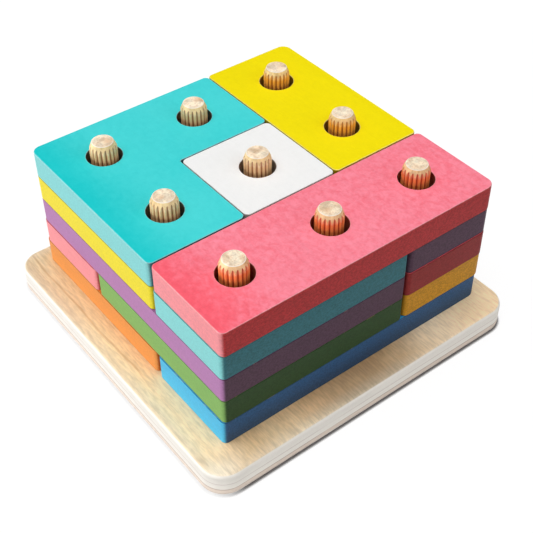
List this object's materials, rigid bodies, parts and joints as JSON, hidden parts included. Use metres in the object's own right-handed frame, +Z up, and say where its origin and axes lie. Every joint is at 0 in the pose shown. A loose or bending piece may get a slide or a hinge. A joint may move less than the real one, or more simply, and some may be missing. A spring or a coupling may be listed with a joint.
{
  "type": "stacking peg puzzle",
  "caption": "Square wooden board with fluted pegs on which flat painted blocks of joined square cells stack in full layers, as a stacking puzzle for small children.",
  "frame": {"origin": "middle of the board's underside, on the surface that it stands on", "axes": "+Z up along the pegs, +X along the top layer's red bar, +Y from that bar towards the far side of the board"},
  "size_m": [0.135, 0.135, 0.0682],
  "materials": {
    "board_wood": "pale plywood, sanded, clear satin lacquer",
    "peg_wood": "bare sanded hardwood",
    "orange_paint": "satin paint on wood",
    "blue_paint": "satin paint on wood",
    "green_paint": "satin paint on wood",
    "red_paint": "satin paint on wood",
    "yellow_paint": "satin paint on wood",
    "purple_paint": "satin paint on wood",
    "turquoise_paint": "satin paint on wood",
    "white_paint": "satin paint on wood"
  },
  "bodies": {
    "base": {"base_board": "board_wood", "peg_1_1": "peg_wood", "peg_1_2": "peg_wood", "peg_1_3": "peg_wood", "peg_2_1": "peg_wood", "peg_2_2": "peg_wood", "peg_2_3": "peg_wood", "peg_3_1": "peg_wood", "peg_3_2": "peg_wood", "peg_3_3": "peg_wood"},
    "layer1_orange_u": {"layer1_orange_u": "orange_paint"},
    "layer1_blue_t": {"layer1_blue_t": "blue_paint"},
    "layer2_red_bar": {"layer2_red_bar": "red_paint"},
    "layer2_yellow_pair": {"layer2_yellow_pair": "yellow_paint"},
    "layer2_green_square": {"layer2_green_square": "green_paint"},
    "layer3_red_bar": {"layer3_red_bar": "red_paint"},
    "layer3_yellow_pair": {"layer3_yellow_pair": "yellow_paint"},
    "layer3_purple_l": {"layer3_purple_l": "purple_paint"},
    "layer4_purple_l": {"layer4_purple_l": "purple_paint"},
    "layer4_turquoise_corner": {"layer4_turquoise_corner": "turquoise_paint"},
    "layer4_yellow_pair": {"layer4_yellow_pair": "yellow_paint"},
    "layer5_red_bar": {"layer5_red_bar": "red_paint"},
    "layer5_white_single": {"layer5_white_single": "white_paint"},
    "layer5_turquoise_corner": {"layer5_turquoise_corner": "turquoise_paint"},
    "layer5_yellow_pair": {"layer5_yellow_pair": "yellow_paint"}
  },
  "joints": [
    {"name": "layer1_orange_u_lift", "type": "slide", "parent": "base", "child": "layer1_orange_u", "axis": [0, 0, 1], "range_m": [0, 0.062]},
    {"name": "layer1_blue_t_lift", "type": "slide", "parent": "layer1_orange_u", "child": "layer1_blue_t", "axis": [0, 0, 1], "range_m": [0, 0.062]},
    {"name": "layer2_red_bar_lift", "type": "slide", "parent": "layer1_blue_t", "child": "layer2_red_bar", "axis": [0, 0, 1], "range_m": [0, 0.0516]},
    {"name": "layer2_yellow_pair_lift", "type": "slide", "parent": "layer2_red_bar", "child": "layer2_yellow_pair", "axis": [0, 0, 1], "range_m": [0, 0.0516]},
    {"name": "layer2_green_square_lift", "type": "slide", "parent": "layer2_yellow_pair", "child": "layer2_green_square", "axis": [0, 0, 1], "range_m": [0, 0.0516]},
    {"name": "layer3_red_bar_lift", "type": "slide", "parent": "layer2_green_square", "child": "layer3_red_bar", "axis": [0, 0, 1], "range_m": [0, 0.0412]},
    {"name": "layer3_yellow_pair_lift", "type": "slide", "parent": "layer3_red_bar", "child": "layer3_yellow_pair", "axis": [0, 0, 1], "range_m": [0, 0.0412]},
    {"name": "layer3_purple_l_lift", "type": "slide", "parent": "layer3_yellow_pair", "child": "layer3_purple_l", "axis": [0, 0, 1], "range_m": [0, 0.0412]},
    {"name": "layer4_purple_l_lift", "type": "slide", "parent": "layer3_purple_l", "child": "layer4_purple_l", "axis": [0, 0, 1], "range_m": [0, 0.0308]},
    {"name": "layer4_turquoise_corner_lift", "type": "slide", "parent": "layer4_purple_l", "child": "layer4_turquoise_corner", "axis": [0, 0, 1], "range_m": [0, 0.0308]},
    {"name": "layer4_yellow_pair_lift", "type": "slide", "parent": "layer4_purple_l", "child": "layer4_yellow_pair", "axis": [0, 0, 1], "range_m": [0, 0.0308]},
    {"name": "layer5_red_bar_lift", "type": "slide", "parent": "layer4_turquoise_corner", "child": "layer5_red_bar", "axis": [0, 0, 1], "range_m": [0, 0.0204]},
    {"name": "layer5_white_single_lift", "type": "slide", "parent": "layer4_turquoise_corner", "child": "layer5_white_single", "axis": [0, 0, 1], "range_m": [0, 0.0204]},
    {"name": "layer5_turquoise_corner_lift", "type": "slide", "parent": "layer4_yellow_pair", "child": "layer5_turquoise_corner", "axis": [0, 0, 1], "range_m": [0, 0.0204]},
    {"name": "layer5_yellow_pair_lift", "type": "slide", "parent": "layer4_purple_l", "child": "layer5_yellow_pair", "axis": [0, 0, 1], "range_m": [0, 0.0204]}
  ]
}
